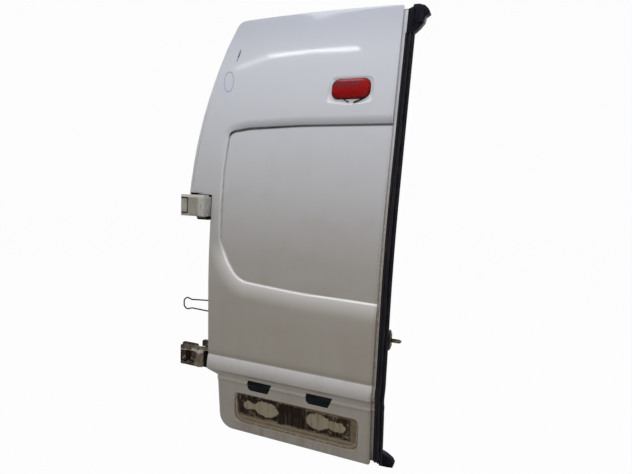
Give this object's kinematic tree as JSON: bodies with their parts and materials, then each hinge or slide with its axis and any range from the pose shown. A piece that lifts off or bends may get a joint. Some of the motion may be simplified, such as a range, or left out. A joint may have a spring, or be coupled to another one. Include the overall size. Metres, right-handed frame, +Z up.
{
  "type": "campervan rear barn door",
  "caption": "Left rear barn door of a high-roofed camper van: hemmed steel skin with a recessed window panel and plate recess, inner tray, hinges, seal, striker and brake lamp.",
  "frame": {"origin": "middle of the upper hinge leaf's flat mounting face, on the hinge axis's plane across the door", "axes": "+X from the hinges towards the free edge, +Y through the door into the van, +Z up"},
  "size_m": [1.0083, 0.2711, 1.7639],
  "materials": {
    "body_paint": "silver-white body paint, dusty and scuffed",
    "inner_paint": "thin white body paint, grimy in the steps",
    "hinge_paint": "body paint over cast steel, dirty",
    "hinge_casting": "bare casting with road dirt and rust",
    "pin_steel": "dull steel, slightly rusty",
    "zinc_steel": "zinc plated, dulled",
    "seal_rubber": "ribbed black rubber",
    "black_plastic": "moulded black plastic",
    "red_lens": "clear red lamp moulding",
    "lamp_window": "smoked lamp window"
  },
  "bodies": {
    "frame_side": {"upper_frame_leaf": "hinge_paint", "upper_hinge_pin": "pin_steel", "lower_frame_leaf": "hinge_casting", "lower_hinge_pin": "pin_steel"},
    "door": {"upper_hinge_arm": "hinge_paint", "lower_hinge_arm": "hinge_casting", "lower_hinge_packing": "seal_rubber", "lower_stop_block": "hinge_casting", "outer_skin": "body_paint", "inner_panel": "inner_paint", "step_flange": "inner_paint", "brake_lamp_base": "black_plastic", "brake_lamp_lens": "red_lens", "plate_lamp_body_left": "black_plastic", "plate_lamp_lens_left": "lamp_window", "plate_lamp_body_right": "black_plastic", "plate_lamp_lens_right": "lamp_window", "centre_seal": "seal_rubber", "seal_top_end": "seal_rubber", "seal_foot": "seal_rubber", "striker_block": "black_plastic", "striker_plate": "zinc_steel", "striker_loop": "zinc_steel", "loop_bracket": "zinc_steel", "release_lever": "black_plastic", "upper_rod": "zinc_steel", "lower_rod": "zinc_steel", "upper_latch": "zinc_steel", "lower_latch": "zinc_steel"},
    "loop": {"check_loop": "zinc_steel"}
  },
  "joints": [
    {"name": "door_swing", "type": "hinge", "parent": "frame_side", "child": "door", "pos_m": [0, -0.044, 0], "axis": [0, 0, -1], "range_deg": [0, 180]},
    {"name": "loop_swing", "type": "hinge", "parent": "door", "child": "loop", "pos_m": [0.12299, -0.02, -0.437], "axis": [0, 0, 1], "range_deg": [-60, 60]}
  ]
}
